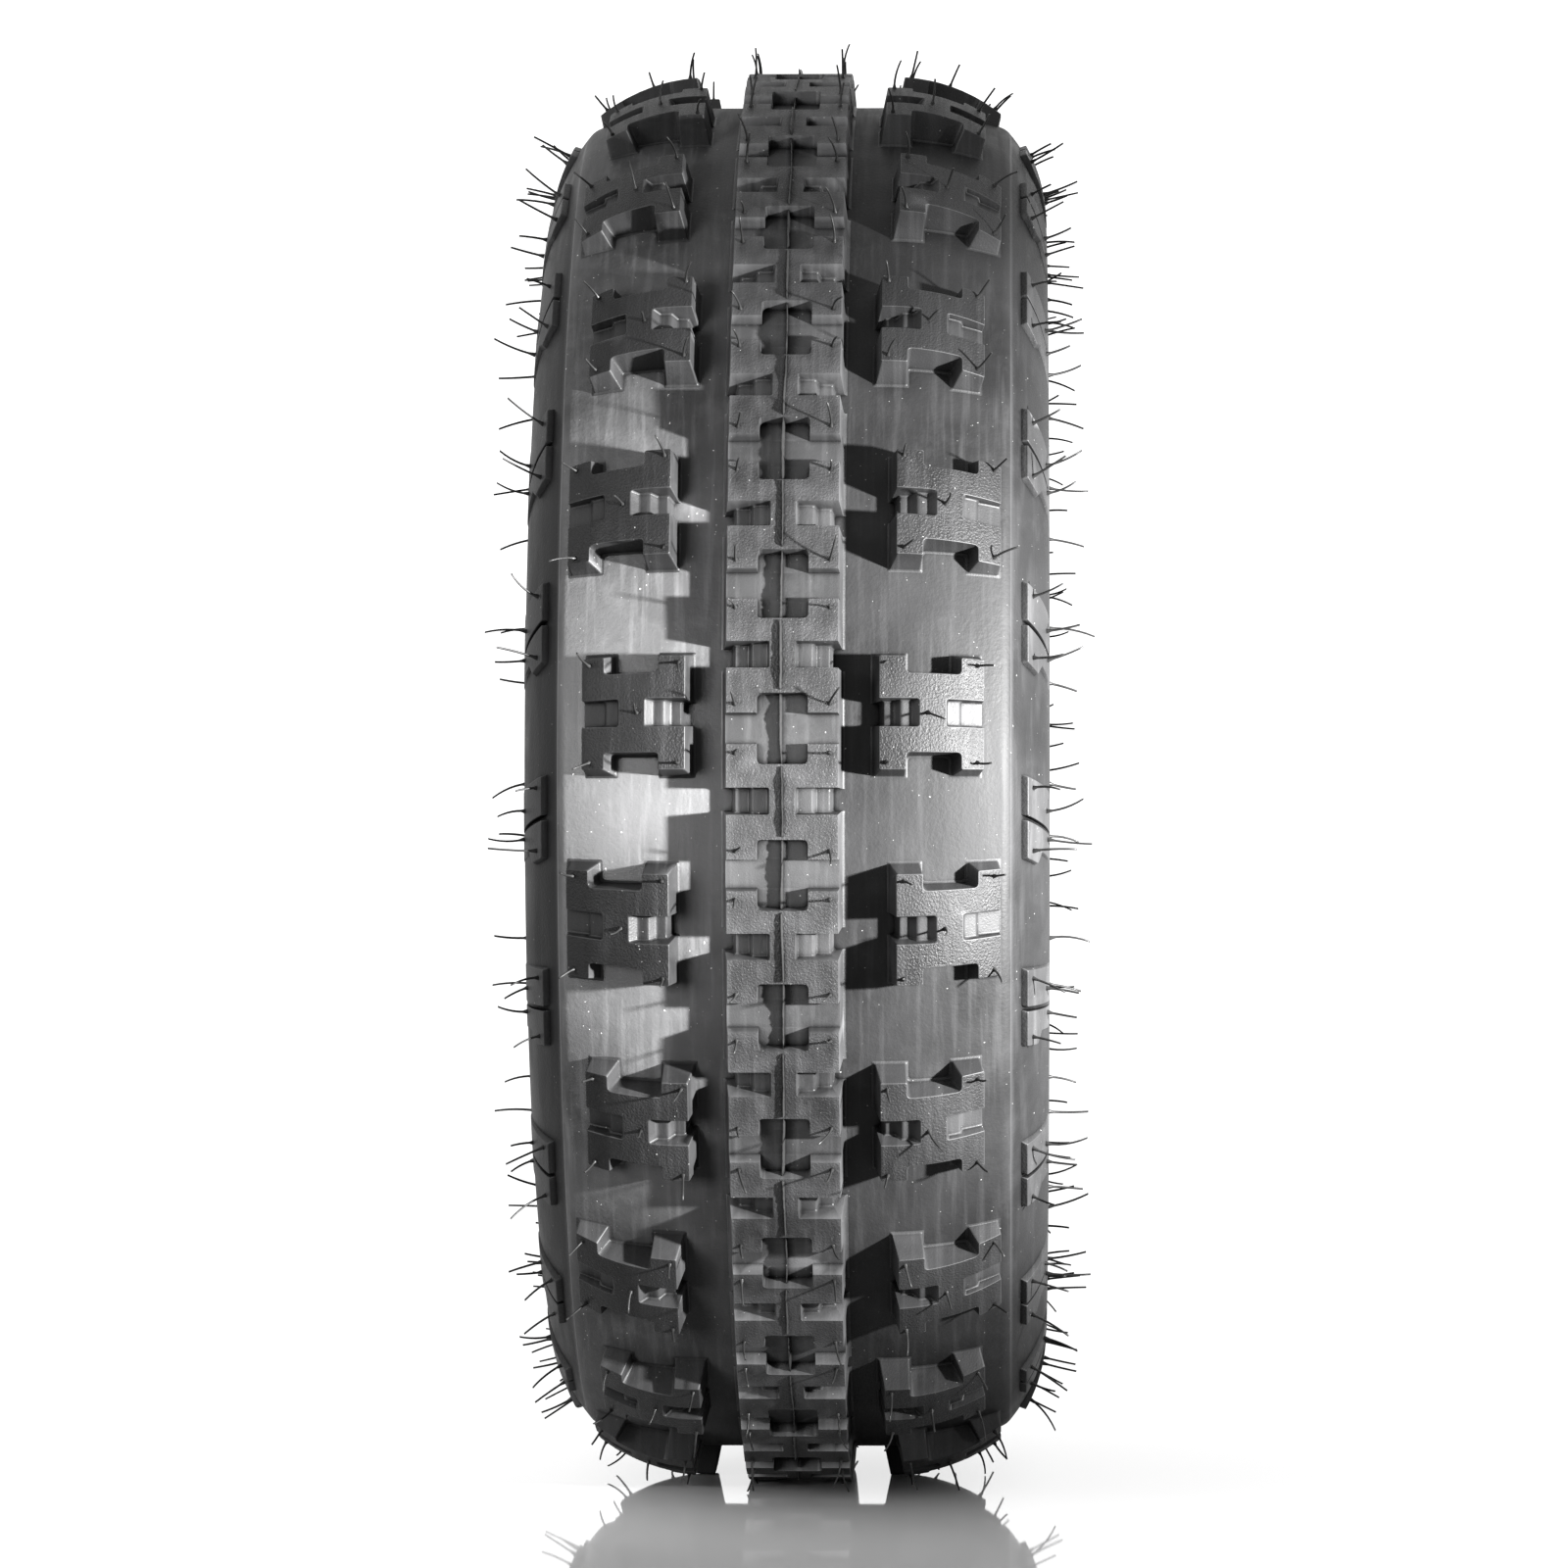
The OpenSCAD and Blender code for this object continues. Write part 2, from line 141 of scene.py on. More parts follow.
crown_c = Vector((CROWN_HALF_W, CROWN_R - CROWN_ARC))
shoulder_c = crown_c + (CROWN_ARC - SHOULDER_ARC) * normal(CROWN_SLOPE)
shoulder_end = shoulder_c + SHOULDER_ARC * normal(SHOULDER_SLOPE)
SIDE_ARC = (HALF_W - shoulder_end.x) / (1 - math.sin(math.radians(SHOULDER_SLOPE)))
side_c = shoulder_end - SIDE_ARC * normal(SHOULDER_SLOPE)
lower_c = Vector((HALF_W - LOWER_ARC, (CROWN_R + SEAT_R) / 2 + LOWER_CENTRE_SHIFT))


def casing_r(a):
    """Radius of the casing's outer surface at distance a from the centre plane."""
    if a <= CROWN_HALF_W:
        return CROWN_R
    if a <= (crown_c + CROWN_ARC * normal(CROWN_SLOPE)).x:
        return crown_c.y + math.sqrt(CROWN_ARC ** 2 - (a - crown_c.x) ** 2)
    if a <= shoulder_end.x:
        return shoulder_c.y + math.sqrt(SHOULDER_ARC ** 2 - (a - shoulder_c.x) ** 2)
    return side_c.y + math.sqrt(max(SIDE_ARC ** 2 - (a - side_c.x) ** 2, 0))


def knob_slope(a):
    """Slope, in radians, of the knobs' tops at distance a from the centre plane."""
    return math.asin(min(max(a - KNOB_FLAT, 0) / KNOB_ARC, 1))


def knob_r(a):
    """Radius of the knobs' tops at distance a from the centre plane."""
    return KNOB_TOP_R - KNOB_ARC * (1 - math.cos(knob_slope(a)))


# ---------------------------------------------------------------- mesh helpers

def place(t, a, r):
    """A point at angle t (radians, downwards from +X), axial distance a and radius r."""
    return Vector((r * math.cos(t), a, -r * math.sin(t))) * MM


def finish_mesh(name, verts, faces, material, slot, nodes, sharp=32.0, tops=(), top=None):
    """The piece for some nodes, none of it below the floor, with another material on tops."""
    mesh = bpy.data.meshes.new(name)
    ground = -GROUND_R * MM
    mesh.from_pydata([(p.x, p.y, max(p.z, ground)) for p in verts], [], faces)
    mesh.materials.append(material)
    if top:
        mesh.materials.append(top)
    for i in tops:
        mesh.polygons[i].material_index = 1
    mesh.validate()
    bm = bmesh.new()
    bm.from_mesh(mesh)
    bmesh.ops.recalc_face_normals(bm, faces=bm.faces)
    bm.to_mesh(mesh)
    bm.free()
    mesh.shade_smooth()
    mesh.set_sharp_from_angle(angle=math.radians(sharp))
    piece = bpy.data.objects.new(name, mesh)
    bpy.context.collection.objects.link(piece)
    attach(piece, "root")
    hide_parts(*nodes)
    return piece


def weigh_normals(piece):
    """Lets the large faces set the shading, so that bevels and slices don't show in them."""
    weighted = piece.modifiers.new("weighted", "WEIGHTED_NORMAL")
    weighted.keep_sharp = True
    weighted.weight = 80


def ring_mesh(section):
    """Vertices and quads of a closed section, [axial, radius] points, turned round the axle."""
    verts = []
    for i in range(RING_STEPS):
        t = 2 * math.pi * i / RING_STEPS
        verts += [place(t, p[0], p[1]) for p in section]
    n = len(section)
    faces = []
    for i in range(RING_STEPS):
        j = (i + 1) % RING_STEPS
        for k in range(n):
            m = (k + 1) % n
            faces.append((i * n + k, i * n + m, j * n + m, j * n + k))
    return verts, faces


def rectangle(half_x, half_y, centre):
    return [(-half_x, centre - half_y), (half_x, centre - half_y), (half_x, centre + half_y),
        (-half_x, centre + half_y)]


def rounded(outline, convex, concave=None, steps=3):
    """The outline, counterclockwise, with its outer and inner corners rounded."""
    if concave is None:
        concave = convex
    points = []
    n = len(outline)
    for i in range(n):
        before, here, after = (Vector(outline[(i + k) % n]) for k in (-1, 0, 1))
        to_before, to_after = (before - here).normalized(), (after - here).normalized()
        turn = (here - before).cross(after - here)
        radius = convex if turn > 0 else concave
        for k in range(steps + 1):
            s = k / steps
            points.append(here + radius * ((1 - s) ** 2 * to_before + s ** 2 * to_after))
    return points


def loft(levels):
    """A closed solid through stacked outlines: [(height, [points]), ...], lowest first."""
    verts, faces = [], []
    n = len(levels[0][1])
    for height, outline in levels:
        verts += [Vector((p[0], p[1], height)) for p in outline]
    for i in range(len(levels) - 1):
        for k in range(n):
            m = (k + 1) % n
            faces.append((i * n + k, i * n + m, (i + 1) * n + m, (i + 1) * n + k))
    faces.append(tuple(reversed(range(n))))
    faces.append(tuple(range((len(levels) - 1) * n, len(levels) * n)))
    return verts, faces


def scratch(name, verts, faces):
    """A temporary object, in millimetres, for cutting and bevelling."""
    mesh = bpy.data.meshes.new(name)
    mesh.from_pydata(verts, [], faces)
    bm = bmesh.new()
    bm.from_mesh(mesh)
    bmesh.ops.recalc_face_normals(bm, faces=bm.faces)
    bm.to_mesh(mesh)
    bm.free()
    piece = bpy.data.objects.new(name, mesh)
    bpy.context.collection.objects.link(piece)
    return piece


def carve(body, cutters, bevel, grid, keep=None):
    """Cuts and bevels a body, keeps the part within keep of y = 0, and slices it to bend."""
    for cutter in cutters:
        cut = body.modifiers.new("cut", "BOOLEAN")
        cut.operation = "DIFFERENCE"
        cut.solver = "EXACT"
        cut.object = cutter
    soften = body.modifiers.new("soften", "BEVEL")
    soften.width = bevel
    soften.segments = 3
    soften.limit_method = "ANGLE"
    soften.angle_limit = math.radians(BEVEL_FROM)
    soften.harden_normals = False
    evaluated = body.evaluated_get(bpy.context.evaluated_depsgraph_get())
    mesh = bpy.data.meshes.new_from_object(evaluated)
    bm = bmesh.new()
    bm.from_mesh(mesh)
    bmesh.ops.remove_doubles(bm, verts=bm.verts, dist=WELD)
    bmesh.ops.dissolve_degenerate(bm, dist=SLIVER, edges=bm.edges)
    if keep:
        for sign in (-1, 1):
            bmesh.ops.bisect_plane(bm, geom=bm.verts[:] + bm.edges[:] + bm.faces[:],
                plane_co=(0, sign * keep, 0), plane_no=(0, sign, 0), clear_outer=True)
    for axis in (0, 1):
        low = min(v.co[axis] for v in bm.verts)
        high = max(v.co[axis] for v in bm.verts)
        count = max(2, round((high - low) / grid))
        for i in range(1, count):
            at = [0, 0, 0]
            at[axis] = low + (high - low) * i / count
            facing = [0, 0, 0]
            facing[axis] = 1
            bmesh.ops.bisect_plane(bm, geom=bm.verts[:] + bm.edges[:] + bm.faces[:],
                plane_co=at, plane_no=facing)
    bmesh.ops.triangulate(bm, faces=[f for f in bm.faces if len(f.verts) > 4])
    bm.verts.ensure_lookup_table()
    verts = [v.co.copy() for v in bm.verts]
    faces = [tuple(v.index for v in f.verts) for f in bm.faces]
    bm.free()
    bpy.data.meshes.remove(mesh)
    for piece in [body, *cutters]:
        bpy.data.objects.remove(piece)
    return verts, faces


def copies(shape, bend, turns, mirrored):
    """Copies of a flat shape, each bent into place at an angle, and which faces are on top."""
    flat, flat_faces = shape
    verts, faces, tops = [], [], []
    for t in turns:
        offset = len(verts)
        for p in flat:
            v, a, r = bend(p)
            verts.append(place(t + v / TREAD_R, -a if mirrored else a, r))
        for f in flat_faces:
            if all(flat[k].z > -TOP_TOLERANCE for k in f):
                tops.append(len(faces))
            faces.append(tuple(offset + k for k in (reversed(f) if mirrored else f)))
    return verts, faces, tops


# ---------------------------------------------------------------- materials

def new_material(name):
    material = bpy.data.materials.new(name)
    material.use_nodes = True
    nodes, links = material.node_tree.nodes, material.node_tree.links
    return material, nodes, links, nodes["Principled BSDF"]


def shade(tone, factor):
    return tuple(c * factor for c in tone)


def noise(nodes, links, vector, scale, detail=4.0, rough=0.55):
    n = nodes.new("ShaderNodeTexNoise")
    n.inputs["Scale"].default_value = scale
    n.inputs["Detail"].default_value = detail
    n.inputs["Roughness"].default_value = rough
    links.new(vector, n.inputs["Vector"])
    return n.outputs["Fac"]


def ramp(nodes, links, value, low, high, dark, light):
    """Goes from dark to light as the value goes from low to high."""
    n = nodes.new("ShaderNodeMapRange")
    n.inputs["From Min"].default_value = low
    n.inputs["From Max"].default_value = high
    n.inputs["To Min"].default_value = dark
    n.inputs["To Max"].default_value = light
    links.new(value, n.inputs["Value"])
    return n.outputs["Result"]


def round_the_wheel(nodes, links, squeeze):
    """Object coordinates unrolled into (squeezed way round, way across, 0), in metres."""
    parts = nodes.new("ShaderNodeSeparateXYZ")
    links.new(nodes.new("ShaderNodeTexCoord").outputs["Object"], parts.inputs[0])
    turn = nodes.new("ShaderNodeMath")
    turn.operation = "ARCTAN2"
    links.new(parts.outputs["Z"], turn.inputs[0])
    links.new(parts.outputs["X"], turn.inputs[1])
    way = nodes.new("ShaderNodeMath")
    way.operation = "MULTIPLY"
    way.inputs[1].default_value = TREAD_R * MM * squeeze
    links.new(turn.outputs[0], way.inputs[0])
    joined = nodes.new("ShaderNodeCombineXYZ")
    links.new(way.outputs[0], joined.inputs[0])
    links.new(parts.outputs["Y"], joined.inputs[1])
    return joined.outputs[0]


def mixed(nodes, links, factor, first, second):
    """Blends two colours, each either a fixed (r, g, b) or the output of a node."""
    n = nodes.new("ShaderNodeMix")
    n.data_type = "RGBA"
    for key, value in (("A", first), ("B", second)):
        if isinstance(value, tuple):
            n.inputs[key].default_value = (*value, 1)
        else:
            links.new(value, n.inputs[key])
    links.new(factor, n.inputs["Factor"])
    return n.outputs["Result"]


def laid_over(nodes, links, base, colour, mask, low, high, amount):
    """A colour over the base: none of it where the mask is low, this amount where it is high."""
    return mixed(nodes, links, ramp(nodes, links, mask, low, high, 0.0, amount), base, colour)


def summed(nodes, links, first, second, factor=1.0):
    """The first value plus the second times a factor."""
    n = nodes.new("ShaderNodeMath")
    n.operation = "MULTIPLY_ADD"
    n.inputs[1].default_value = factor
    links.new(second, n.inputs[0])
    links.new(first, n.inputs[2])
    return n.outputs[0]


def bumped(nodes, links, shader, height, depth):
    """Raises the surface by a height times a depth in metres."""
    bump = nodes.new("ShaderNodeBump")
    bump.inputs["Distance"].default_value = depth
    links.new(height, bump.inputs["Height"])
    links.new(bump.outputs["Normal"], shader.inputs["Normal"])


CLOUD_SCALE = 22.0
SMUDGE_SCALE = 70.0
STREAK_SCALE = 330.0
STREAK_SQUEEZE = 0.07
SPECK_SCALE = 900.0
SPECK_COLOUR = (0.55, 0.55, 0.54)
CORNER_REACH = 0.0025
# Pointiness is 0.5 on a flat face, more on an edge and less in a crease. The edge range lightens
# edges as a painted highlight, and the crease range darkens creases as painted shade.
EDGE_HIGHLIGHT = (0.53, 0.62)
CREASE_SHADE = (0.48, 0.40)
# Ambient occlusion is 1 in the open, and less in a corner, where it darkens the colour and dims
# the reflection as painted shade.
CORNER_SHADE = (0.85, 0.35)


def rubber(name, tone, grain, depth, roughness, dust=0.35, shine=0.17):
    """Moulded rubber: cloudy tone, streaks round the tyre, edges lightened as a painted
    highlight, creases and corners darkened as painted shade, dust and a grain.
    """
    material, nodes, links, shader = new_material(name)
    where = nodes.new("ShaderNodeTexCoord").outputs["Object"]
    cloud = noise(nodes, links, where, CLOUD_SCALE, 5.0)
    smudge = noise(nodes, links, where, SMUDGE_SCALE, 6.0, 0.7)
    unrolled = round_the_wheel(nodes, links, STREAK_SQUEEZE)
    streak = noise(nodes, links, unrolled, STREAK_SCALE, 4.0)
    speck = noise(nodes, links, where, SPECK_SCALE, 1.0)
    fine = noise(nodes, links, where, grain, 2.0, 0.6)
    edge = nodes.new("ShaderNodeNewGeometry").outputs["Pointiness"]
    occlusion = nodes.new("ShaderNodeAmbientOcclusion")
    occlusion.samples = 6
    occlusion.inputs["Distance"].default_value = CORNER_REACH
    open_air = occlusion.outputs["AO"]

    base = mixed(nodes, links, ramp(nodes, links, cloud, 0.35, 0.68, 0.0, 1.0),
        shade(tone, 0.7), shade(tone, 1.4))
    base = laid_over(nodes, links, base, shade(tone, 1.9), smudge, 0.52, 0.75, 0.5)
    base = laid_over(nodes, links, base, shade(tone, 3.2), streak, 0.5, 0.8, dust)
    # Edges lightened where pointiness is high: a painted highlight.
    base = laid_over(nodes, links, base, shade(tone, 5), edge, *EDGE_HIGHLIGHT, 0.5)
    # Creases darkened where pointiness is low: painted shade.
    base = laid_over(nodes, links, base, shade(tone, 0.35), edge, *CREASE_SHADE, 0.8)
    base = laid_over(nodes, links, base, SPECK_COLOUR, speck, 0.77, 0.82, 0.8 * dust)
    # Corners and crevices darkened by ambient occlusion: painted shade.
    base = laid_over(nodes, links, base, shade(tone, 0.1), open_air, *CORNER_SHADE, 0.95)
    links.new(base, shader.inputs["Base Color"])
    # The reflection is dimmed in corners too: painted shade.
    links.new(ramp(nodes, links, open_air, *CORNER_SHADE, shine, 0.1 * shine),
        shader.inputs["Specular IOR Level"])

    rough = ramp(nodes, links, cloud, 0.3, 0.7, roughness - 0.07, roughness + 0.07)
    rough = summed(nodes, links, rough, ramp(nodes, links, streak, 0.45, 0.8, 0.0, 0.16))
    rough = summed(nodes, links, rough, ramp(nodes, links, edge, *EDGE_HIGHLIGHT, 0.0, -0.1))
    links.new(rough, shader.inputs["Roughness"])
    heights = summed(nodes, links, fine, cloud, 0.35)
    bumped(nodes, links, shader, summed(nodes, links, heights, streak, 0.3), depth)
    return material


def cord_fabric():
    """Rubbered cord: fine parallel cords across the tyre with a dull skim between them."""
    material, nodes, links, shader = new_material("cord_fabric")
    where = round_the_wheel(nodes, links, 1.0)
    cords = nodes.new("ShaderNodeTexWave")
    cords.inputs["Scale"].default_value = 140.0
    cords.inputs["Distortion"].default_value = 0.6
    cords.bands_direction = "DIAGONAL"
    links.new(where, cords.inputs["Vector"])
    fuzz = noise(nodes, links, where, 800.0, 3.0)
    base = mixed(nodes, links, cords.outputs["Fac"], (0.02, 0.018, 0.016), (0.11, 0.085, 0.055))
    base = laid_over(nodes, links, base, (0.17, 0.14, 0.1), fuzz, 0.5, 0.8, 0.5)
    links.new(base, shader.inputs["Base Color"])
    links.new(ramp(nodes, links, fuzz, 0.3, 0.7, 0.65, 0.85), shader.inputs["Roughness"])
    bumped(nodes, links, shader, cords.outputs["Fac"], 0.0003)
    return material


def coated_wire():
    """Drawn steel wire with a thin bronze coating, scratched along its length."""
    material, nodes, links, shader = new_material("coated_wire")
    shader.inputs["Metallic"].default_value = 1.0
    where = round_the_wheel(nodes, links, 0.05)
    scratch_lines = noise(nodes, links, where, 1500.0, 4.0)
    tint = noise(nodes, links, where, 60.0, 3.0)
    base = mixed(nodes, links, ramp(nodes, links, tint, 0.35, 0.65, 0.0, 1.0),
        (0.42, 0.25, 0.11), (0.62, 0.42, 0.22))
    links.new(base, shader.inputs["Base Color"])
    links.new(ramp(nodes, links, scratch_lines, 0.3, 0.7, 0.28, 0.5), shader.inputs["Roughness"])
    bumped(nodes, links, shader, scratch_lines, 0.00005)
    return material


tread_rubber = rubber("tread_rubber", (0.017, 0.017, 0.0173), grain=1500.0, depth=0.00008,
    roughness=0.5, shine=0.22)
grained_top = rubber("grained_top", (0.0095, 0.0095, 0.0097), grain=1300.0, depth=0.00035,
    roughness=0.5, shine=0.2)
base_rubber = rubber("base_rubber", (0.0125, 0.0125, 0.0127), grain=700.0, depth=0.00010,
    roughness=0.56, dust=0.4)
side_rubber = rubber("side_rubber", (0.0095, 0.0095, 0.0097), grain=900.0, depth=0.00010,
    roughness=0.5)
lug_rubber = rubber("lug_rubber", (0.02, 0.02, 0.0203), grain=900.0, depth=0.00015,
    roughness=0.5, dust=0.5)
trim_rubber = rubber("trim_rubber", (0.006, 0.006, 0.006), grain=2500.0, depth=0.00006,
    roughness=0.45, dust=0.1)
liner_rubber = rubber("liner_rubber", (0.014, 0.014, 0.014), grain=500.0, depth=0.00020,
    roughness=0.6)
core_rubber = rubber("core_rubber", (0.009, 0.009, 0.009), grain=1200.0, depth=0.00005,
    roughness=0.65, dust=0.1)
ply_cord = cord_fabric()
bead_wire = coated_wire()


# ---------------------------------------------------------------- casing skins

# Ridges moulded round a sidewall: the radius, half the width and the height of each.
SIDE_RIDGES = ((203.5, 1.6, 0.7), (171.0, 1.2, 0.6), (167.0, 1.2, 0.6))
# The rim guard steps out from the lower arc, then turns in to where the rim's flange begins.
GUARD_STEP = Vector((0.6, -1.5))
GUARD_LINE = ((11.6, 14.5), (11.2, 11), (10.2, 8.6), (8.4, 6.9), (5.6, 5.2), (3.0, 3.1),
    (1.0, 1.0), (0, 0))


def mirror_line(line):
    return [Vector((-p.x, p.y)) for p in line]


def crown_line(h, steps):
    """From the centre plane to the end of the shoulder, raised by h."""
    flat = [Vector((CROWN_HALF_W * i / 6, CROWN_R + h)) for i in range(6)]
    return flat + fan(crown_c, CROWN_ARC + h, 0, CROWN_SLOPE, 2 * steps) + fan(
        shoulder_c, SHOULDER_ARC + h, CROWN_SLOPE, SHOULDER_SLOPE, steps, 1)


def tread_skin(side, name):
    """Half of the tread's base, split at the centre plane under the rib."""
    section = crown_line(0, 8) + crown_line(-RUBBER_T, 3)[::-1]
    if side < 0:
        section = mirror_line(section)
    finish_mesh("tread_skin_" + name, *ring_mesh(section), base_rubber, "tread_rubber",
        ["tread_base", "tread_wing_" + name])


def sidewall_outline():
    """Outer surface of a sidewall from the shoulder to the rim flange."""
    upper = fan(side_c, SIDE_ARC, SHOULDER_SLOPE, 90, 24)
    lower = fan(lower_c, LOWER_ARC, 90, GUARD_SLOPE - 4, 20)
    raised = []
    for p in upper + lower:
        h = 0.0
        for ridge_r, half_width, height in SIDE_RIDGES:
            h += height * max(0.0, 1 - ((p.y - ridge_r) / half_width) ** 2)
        raised.append(p + Vector((h, 0)))
    guard = [lower_c + LOWER_ARC * normal(GUARD_SLOPE) + GUARD_STEP]
    guard += [Vector((FLANGE_A + out, FLANGE_R + up)) for out, up in GUARD_LINE]
    return raised + guard


def sidewall_skin(side, name):
    """A sidewall: its outer surface, and an inner one that lies on the plies."""
    inner = [Vector((FLANGE_A - 1, FLANGE_R))] + fan(lower_c, LOWER_ARC - RUBBER_T, 132, 90, 8)
    inner += fan(side_c, SIDE_ARC - RUBBER_T, 86, SHOULDER_SLOPE, 8)
    section = sidewall_outline() + inner
    if side < 0:
        section = mirror_line(section)
    finish_mesh("sidewall_skin_" + name, *ring_mesh(section), side_rubber,
        "sidewall_rubber", ["sidewall_" + name])


# ---------------------------------------------------------------- centre rib

# A recess's pocket at its floor and above the rib: half sizes across and round, and corners.
POCKET_FLOOR = (8.7, 12.1)
POCKET_MOUTH = (9.0, 12.4)
POCKET_FLOOR_CORNER = 1.7
POCKET_MOUTH_CORNER = 1.9
# The groove that crosses a pocket: half its width at the floor and above the rib.
GROOVE_FLOOR = 5.1
GROOVE_MOUTH = 5.55
# The groove's floor lies this much below the pocket's, so that the two share no plane.
FLOORS_APART = 0.02
# Profiles run through (distance from the centre plane, height) and past the rib's side.
PAST_SIDE = 30
NOTCH_LINE = ((4.1, ABOVE), (5.0, -3.8), (10.5, -3.8), (11.5, -6.9), (16.4, -6.9),
    (17.8, -14.5), (PAST_SIDE, -14.5), (PAST_SIDE, ABOVE))
NOTCH_HALF_W = 4.7
NOTCH_DRAFT = 0.05


def block(depth):
    """Levels (height, part of the draft, spread) of a block from its flared foot to its top."""
    levels = []
    steps = 5
    for i in range(steps + 1):
        s = i / steps
        spread = FOOT_FLARE * (1 - math.sin(s * math.pi / 2))
        height = -depth + FOOT_FLARE * (1 - math.cos(s * math.pi / 2))
        levels.append((height, -height / depth, spread))
    return [(-depth - SUNK, 1.0, FOOT_FLARE)] + levels + [(0.0, 0.0, 0.0)]


def grown(corners, part, spread):
    """Corners (x, y, dx, dy) moved out by their draft times part, and by spread."""
    return [(x + dx * part + math.copysign(spread, dx), y + dy * part + math.copysign(spread, dy))
        for x, y, dx, dy in corners]


def rib_shape():
    """One pitch of the rib, cut from three so that the bevels run on past its ends."""
    half_l = 3 * RIB_PITCH / 2
    half_w = RIB_W / 2
    draft = RIB_FOOT - half_w
    end_draft = 0.01
    corners = [(-half_w, -half_l, -draft, -end_draft), (half_w, -half_l, draft, -end_draft),
        (half_w, half_l, draft, end_draft), (-half_w, half_l, -draft, end_draft)]
    levels = [(height, grown(corners, part, spread))
        for height, part, spread in block(TREAD_DEPTH)]
    body = scratch("rib", *loft(levels))
    cutters = []
    notch_at = math.radians(RIB_NOTCH_START - RIB_RECESS_START) * TREAD_R
    for i in (-1, 0, 1):
        centre = i * RIB_PITCH
        cutters.append(scratch("pocket", *loft([
            (-RECESS, rounded(rectangle(*POCKET_FLOOR, centre), POCKET_FLOOR_CORNER)),
            (ABOVE, rounded(rectangle(*POCKET_MOUTH, centre), POCKET_MOUTH_CORNER))])))
        cutters.append(scratch("groove", *loft([
            (-RECESS - FLOORS_APART, rectangle(PAST_SIDE, GROOVE_FLOOR, centre)),
            (ABOVE, rectangle(PAST_SIDE, GROOVE_MOUTH, centre))])))
        for side in (-1, 1):
            for shift in (0, -RIB_PITCH):
                cutters.append(stepped_cutter("notch", NOTCH_LINE, centre + notch_at + shift,
                    NOTCH_HALF_W, NOTCH_DRAFT, side))
    return carve(body, cutters, bevel=0.6, grid=4.6, keep=RIB_PITCH / 2)


def stepped_cutter(name, profile, centre, half_top, draft, side=1):
    """A cutter whose (u, height) profile runs across the tyre, half_top wide at height 0."""
    n = len(profile)
    verts = []
    for end in (-1, 1):
        for u, height in profile:
            verts.append(Vector((side * u, centre + end * (half_top + draft * height), height)))
    faces = [tuple(range(n)), tuple(range(2 * n - 1, n - 1, -1))]
    faces += [(k, (k + 1) % n, n + (k + 1) % n, n + k) for k in range(n)]
    cutter = scratch(name, verts, faces)
    soften = cutter.modifiers.new("soften", "BEVEL")
    soften.width = CUTTER_BEVEL
    soften.segments = 2
    soften.limit_method = "ANGLE"
    return cutter


def centre_rib():
    """All the pitches of the rib, bent round the tyre and joined end to end."""
    shape = rib_shape()

    def bend(p):
        return p.y, p.x, TREAD_R + p.z

    start = math.radians(RIB_RECESS_START)
    turns = [start + 2 * math.pi * i / RIB_PITCHES for i in range(RIB_PITCHES)]
    verts, faces, tops = copies(shape, bend, turns, False)
    piece = finish_mesh("rib_blocks", verts, faces, tread_rubber, "tread_rubber",
        ["centre_rib"], tops=tops, top=grained_top)
    bm = bmesh.new()
    bm.from_mesh(piece.data)
    bmesh.ops.remove_doubles(bm, verts=bm.verts, dist=0.00002)
    bm.to_mesh(piece.data)
    bm.free()
    weigh_normals(piece)


# ---------------------------------------------------------------- shoulder knobs

# A knob's outline from above is an H: half its waist, and where the waist begins and ends.
WAIST = 13.9
WAIST_FROM = 9.3
WAIST_TO = 28.3
# How far each wall leans out by the knob's foot.
INNER_DRAFT = 2.4
OUTER_DRAFT = 1.2
END_DRAFT = 2.3
WAIST_DRAFT = 0.8
# Radii of its outer corners and of the inner ones beside the waist.
KNOB_CORNER = 0.7
KNOB_CROTCH = 1.6
# The stepped pockets' profiles, (distance from the knob's inner side, height), run past it.
INNER_POCKET = ((14.7, ABOVE), (11.6, -3.6), (7.6, -3.6), (5.5, -6.8), (1.5, -6.8),
    (-0.9, -15.0), (-10, -15.0), (-10, ABOVE))
OUTER_POCKET = ((22.9, ABOVE), (24.0, -3.2), (28.4, -3.2), (29.4, -6.0), (45, -6.0),
    (45, ABOVE))
INNER_POCKET_HALF_W = 4.9
OUTER_POCKET_HALF_W = 4.8
POCKET_DRAFT = 0.07


def knob_depth(a):
    """Distance from the knob's top to the casing, along the knob's lean."""
    lean = KNOB_LEAN * knob_slope(a)
    depth = 0.0
    for _ in range(8):
        depth = (knob_r(a) - casing_r(a - depth * math.sin(lean))) / math.cos(lean)
    return depth


def knob_shape():
    l = KNOB_L / 2
    half = [(0, -l, -INNER_DRAFT, -END_DRAFT), (WAIST_FROM, -l, WAIST_DRAFT, -END_DRAFT),
        (WAIST_FROM, -WAIST, WAIST_DRAFT, -WAIST_DRAFT),
        (WAIST_TO, -WAIST, -WAIST_DRAFT, -WAIST_DRAFT),
        (WAIST_TO, -l, -WAIST_DRAFT, -END_DRAFT), (KNOB_W, -l, OUTER_DRAFT, -END_DRAFT)]
    corners = half + [(x, -y, dx, -dy) for x, y, dx, dy in reversed(half)]
    levels = [(height, rounded(grown(corners, part, spread), KNOB_CORNER, KNOB_CROTCH))
        for height, part, spread in block(TREAD_DEPTH)]
    body = scratch("knob", *loft(levels))
    cutters = [
        stepped_cutter("inner_pocket", INNER_POCKET, 0, INNER_POCKET_HALF_W, POCKET_DRAFT),
        stepped_cutter("outer_pocket", OUTER_POCKET, 0, OUTER_POCKET_HALF_W, POCKET_DRAFT)]
    return carve(body, cutters, bevel=0.42, grid=4.2)


